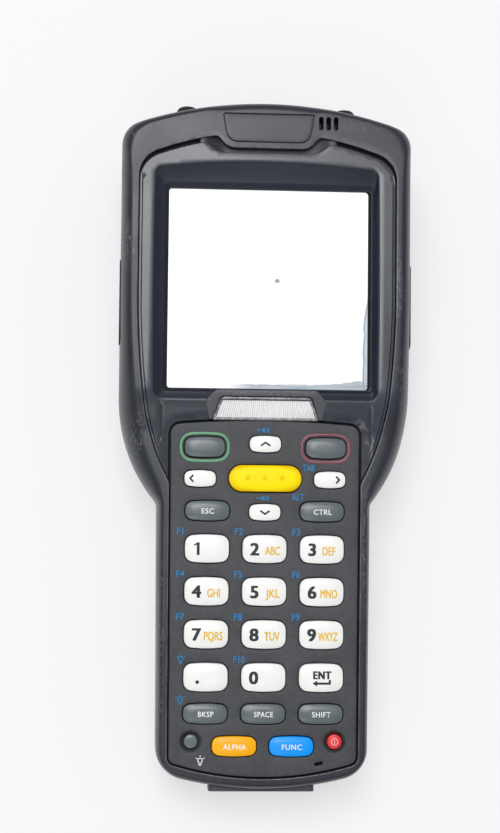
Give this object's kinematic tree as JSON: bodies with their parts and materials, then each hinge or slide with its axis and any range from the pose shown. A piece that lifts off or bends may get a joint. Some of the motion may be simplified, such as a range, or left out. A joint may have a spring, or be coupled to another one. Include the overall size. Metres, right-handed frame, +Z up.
{
  "type": "portable barcode data terminal",
  "caption": "Handheld data terminal with a wide head, square touch display, numeric keypad and a scan window in the end of its head.",
  "frame": {"origin": "centre of the bounding box's underside: the terminal lies on its back on the plane Z = 0", "axes": "+Y from the grip towards the head, +X to the right seen from the front with the head up, +Z up, out of the face, which is tilted 5 degrees"},
  "size_m": [0.0826, 0.1949, 0.0444],
  "materials": {
    "front_housing": "soft-touch charcoal",
    "rear_housing": "textured charcoal",
    "housing_seal": "matt black",
    "housing_screws": "plain steel",
    "name_plate": "fine-grained black, bare",
    "display_bezel": "fine satin charcoal",
    "light_bar_lens": "ribbed silver lens",
    "display_gasket": "matt black foam",
    "touch_panel": "clear, worn film at its edge",
    "display_module": "white screen",
    "display_bracket": "plain sheet",
    "main_board": "green laminate",
    "shield_can": "tinned sheet",
    "side_switches": "black",
    "speaker": "black",
    "microphone": "plain",
    "keypad_faceplate": "grained dark grey",
    "key_ring_green": "muted green",
    "key_ring_red": "muted red",
    "keypad_mat": "dark silicone",
    "key_domes": "spring steel",
    "keypad_board": "green laminate",
    "scan_window": "dark red tint",
    "scan_engine": "black",
    "bumpers": "matt black",
    "battery_contacts": "gold plated",
    "dock_connector": "black",
    "dock_contacts": "gold plated",
    "key_green": "satin blue-grey",
    "key_red": "satin blue-grey",
    "key_up": "satin white",
    "key_left": "satin white",
    "key_scan": "bright yellow",
    "key_right": "satin white",
    "key_down": "satin white",
    "key_escape": "satin blue-grey",
    "key_control": "satin blue-grey",
    "key_backspace": "satin blue-grey",
    "key_space": "satin blue-grey",
    "key_shift": "satin blue-grey",
    "key_alpha": "orange",
    "key_function": "blue",
    "key_lamp": "dark grey",
    "key_power": "red",
    "key_1": "satin white",
    "key_2": "satin white",
    "key_3": "satin white",
    "key_4": "satin white",
    "key_5": "satin white",
    "key_6": "satin white",
    "key_7": "satin white",
    "key_8": "satin white",
    "key_9": "satin white",
    "key_period": "satin white",
    "key_0": "satin white",
    "key_enter": "satin white",
    "side_button_left": "matt black",
    "side_button_right": "matt black",
    "battery_pack": "textured charcoal",
    "battery_latch": "dark grey"
  },
  "bodies": {
    "housing": {"front_housing": "front_housing", "rear_housing": "rear_housing", "housing_seal": "housing_seal", "housing_screws": "housing_screws", "name_plate": "name_plate", "display_bezel": "display_bezel", "light_bar_lens": "light_bar_lens", "display_gasket": "display_gasket", "touch_panel": "touch_panel", "display_module": "display_module", "display_bracket": "display_bracket", "main_board": "main_board", "shield_can": "shield_can", "side_switches": "side_switches", "speaker": "speaker", "microphone": "microphone", "keypad_faceplate": "keypad_faceplate", "key_ring_green": "key_ring_green", "key_ring_red": "key_ring_red", "keypad_mat": "keypad_mat", "key_domes": "key_domes", "keypad_board": "keypad_board", "scan_window": "scan_window", "scan_engine": "scan_engine", "bumpers": "bumpers", "battery_contacts": "battery_contacts", "dock_connector": "dock_connector", "dock_contacts": "dock_contacts"},
    "key_green": {"key_green": "key_green"},
    "key_red": {"key_red": "key_red"},
    "key_up": {"key_up": "key_up"},
    "key_left": {"key_left": "key_left"},
    "key_scan": {"key_scan": "key_scan"},
    "key_right": {"key_right": "key_right"},
    "key_down": {"key_down": "key_down"},
    "key_escape": {"key_escape": "key_escape"},
    "key_control": {"key_control": "key_control"},
    "key_backspace": {"key_backspace": "key_backspace"},
    "key_space": {"key_space": "key_space"},
    "key_shift": {"key_shift": "key_shift"},
    "key_alpha": {"key_alpha": "key_alpha"},
    "key_function": {"key_function": "key_function"},
    "key_lamp": {"key_lamp": "key_lamp"},
    "key_power": {"key_power": "key_power"},
    "key_1": {"key_1": "key_1"},
    "key_2": {"key_2": "key_2"},
    "key_3": {"key_3": "key_3"},
    "key_4": {"key_4": "key_4"},
    "key_5": {"key_5": "key_5"},
    "key_6": {"key_6": "key_6"},
    "key_7": {"key_7": "key_7"},
    "key_8": {"key_8": "key_8"},
    "key_9": {"key_9": "key_9"},
    "key_period": {"key_period": "key_period"},
    "key_0": {"key_0": "key_0"},
    "key_enter": {"key_enter": "key_enter"},
    "side_button_left": {"side_button_left": "side_button_left"},
    "side_button_right": {"side_button_right": "side_button_right"},
    "battery_pack": {"battery_pack": "battery_pack"},
    "battery_latch": {"battery_latch": "battery_latch"}
  },
  "joints": [
    {"name": "key_green_press", "type": "slide", "parent": "housing", "child": "key_green", "axis": [0, 0.0872, -0.9962], "range_m": [0, 0.0008], "stiffness_N_per_m": 800},
    {"name": "key_red_press", "type": "slide", "parent": "housing", "child": "key_red", "axis": [0, 0.0872, -0.9962], "range_m": [0, 0.0008], "stiffness_N_per_m": 800},
    {"name": "key_up_press", "type": "slide", "parent": "housing", "child": "key_up", "axis": [0, 0.0872, -0.9962], "range_m": [0, 0.0008], "stiffness_N_per_m": 800},
    {"name": "key_left_press", "type": "slide", "parent": "housing", "child": "key_left", "axis": [0, 0.0872, -0.9962], "range_m": [0, 0.0008], "stiffness_N_per_m": 800},
    {"name": "key_scan_press", "type": "slide", "parent": "housing", "child": "key_scan", "axis": [0, 0.0872, -0.9962], "range_m": [0, 0.0008], "stiffness_N_per_m": 800},
    {"name": "key_right_press", "type": "slide", "parent": "housing", "child": "key_right", "axis": [0, 0.0872, -0.9962], "range_m": [0, 0.0008], "stiffness_N_per_m": 800},
    {"name": "key_down_press", "type": "slide", "parent": "housing", "child": "key_down", "axis": [0, 0.0872, -0.9962], "range_m": [0, 0.0008], "stiffness_N_per_m": 800},
    {"name": "key_escape_press", "type": "slide", "parent": "housing", "child": "key_escape", "axis": [0, 0.0872, -0.9962], "range_m": [0, 0.0008], "stiffness_N_per_m": 800},
    {"name": "key_control_press", "type": "slide", "parent": "housing", "child": "key_control", "axis": [0, 0.0872, -0.9962], "range_m": [0, 0.0008], "stiffness_N_per_m": 800},
    {"name": "key_backspace_press", "type": "slide", "parent": "housing", "child": "key_backspace", "axis": [0, 0.0872, -0.9962], "range_m": [0, 0.0008], "stiffness_N_per_m": 800},
    {"name": "key_space_press", "type": "slide", "parent": "housing", "child": "key_space", "axis": [0, 0.0872, -0.9962], "range_m": [0, 0.0008], "stiffness_N_per_m": 800},
    {"name": "key_shift_press", "type": "slide", "parent": "housing", "child": "key_shift", "axis": [0, 0.0872, -0.9962], "range_m": [0, 0.0008], "stiffness_N_per_m": 800},
    {"name": "key_alpha_press", "type": "slide", "parent": "housing", "child": "key_alpha", "axis": [0, 0.0872, -0.9962], "range_m": [0, 0.0008], "stiffness_N_per_m": 800},
    {"name": "key_function_press", "type": "slide", "parent": "housing", "child": "key_function", "axis": [0, 0.0872, -0.9962], "range_m": [0, 0.0008], "stiffness_N_per_m": 800},
    {"name": "key_lamp_press", "type": "slide", "parent": "housing", "child": "key_lamp", "axis": [0, 0.0872, -0.9962], "range_m": [0, 0.0008], "stiffness_N_per_m": 800},
    {"name": "key_power_press", "type": "slide", "parent": "housing", "child": "key_power", "axis": [0, 0.0872, -0.9962], "range_m": [0, 0.0008], "stiffness_N_per_m": 800},
    {"name": "key_1_press", "type": "slide", "parent": "housing", "child": "key_1", "axis": [0, 0.0872, -0.9962], "range_m": [0, 0.0008], "stiffness_N_per_m": 800},
    {"name": "key_2_press", "type": "slide", "parent": "housing", "child": "key_2", "axis": [0, 0.0872, -0.9962], "range_m": [0, 0.0008], "stiffness_N_per_m": 800},
    {"name": "key_3_press", "type": "slide", "parent": "housing", "child": "key_3", "axis": [0, 0.0872, -0.9962], "range_m": [0, 0.0008], "stiffness_N_per_m": 800},
    {"name": "key_4_press", "type": "slide", "parent": "housing", "child": "key_4", "axis": [0, 0.0872, -0.9962], "range_m": [0, 0.0008], "stiffness_N_per_m": 800},
    {"name": "key_5_press", "type": "slide", "parent": "housing", "child": "key_5", "axis": [0, 0.0872, -0.9962], "range_m": [0, 0.0008], "stiffness_N_per_m": 800},
    {"name": "key_6_press", "type": "slide", "parent": "housing", "child": "key_6", "axis": [0, 0.0872, -0.9962], "range_m": [0, 0.0008], "stiffness_N_per_m": 800},
    {"name": "key_7_press", "type": "slide", "parent": "housing", "child": "key_7", "axis": [0, 0.0872, -0.9962], "range_m": [0, 0.0008], "stiffness_N_per_m": 800},
    {"name": "key_8_press", "type": "slide", "parent": "housing", "child": "key_8", "axis": [0, 0.0872, -0.9962], "range_m": [0, 0.0008], "stiffness_N_per_m": 800},
    {"name": "key_9_press", "type": "slide", "parent": "housing", "child": "key_9", "axis": [0, 0.0872, -0.9962], "range_m": [0, 0.0008], "stiffness_N_per_m": 800},
    {"name": "key_period_press", "type": "slide", "parent": "housing", "child": "key_period", "axis": [0, 0.0872, -0.9962], "range_m": [0, 0.0008], "stiffness_N_per_m": 800},
    {"name": "key_0_press", "type": "slide", "parent": "housing", "child": "key_0", "axis": [0, 0.0872, -0.9962], "range_m": [0, 0.0008], "stiffness_N_per_m": 800},
    {"name": "key_enter_press", "type": "slide", "parent": "housing", "child": "key_enter", "axis": [0, 0.0872, -0.9962], "range_m": [0, 0.0008], "stiffness_N_per_m": 800},
    {"name": "side_button_left_press", "type": "slide", "parent": "housing", "child": "side_button_left", "axis": [1, 0, 0], "range_m": [0, 0.0008], "stiffness_N_per_m": 1000},
    {"name": "side_button_right_press", "type": "slide", "parent": "housing", "child": "side_button_right", "axis": [-1, 0, 0], "range_m": [0, 0.0008], "stiffness_N_per_m": 1000},
    {"name": "battery_lift", "type": "slide", "parent": "housing", "child": "battery_pack", "axis": [0, 0, -1], "range_m": [0, 0.02]},
    {"name": "latch_slide", "type": "slide", "parent": "housing", "child": "battery_latch", "axis": [0, 1, 0], "range_m": [0, 0.0025], "stiffness_N_per_m": 600}
  ]
}
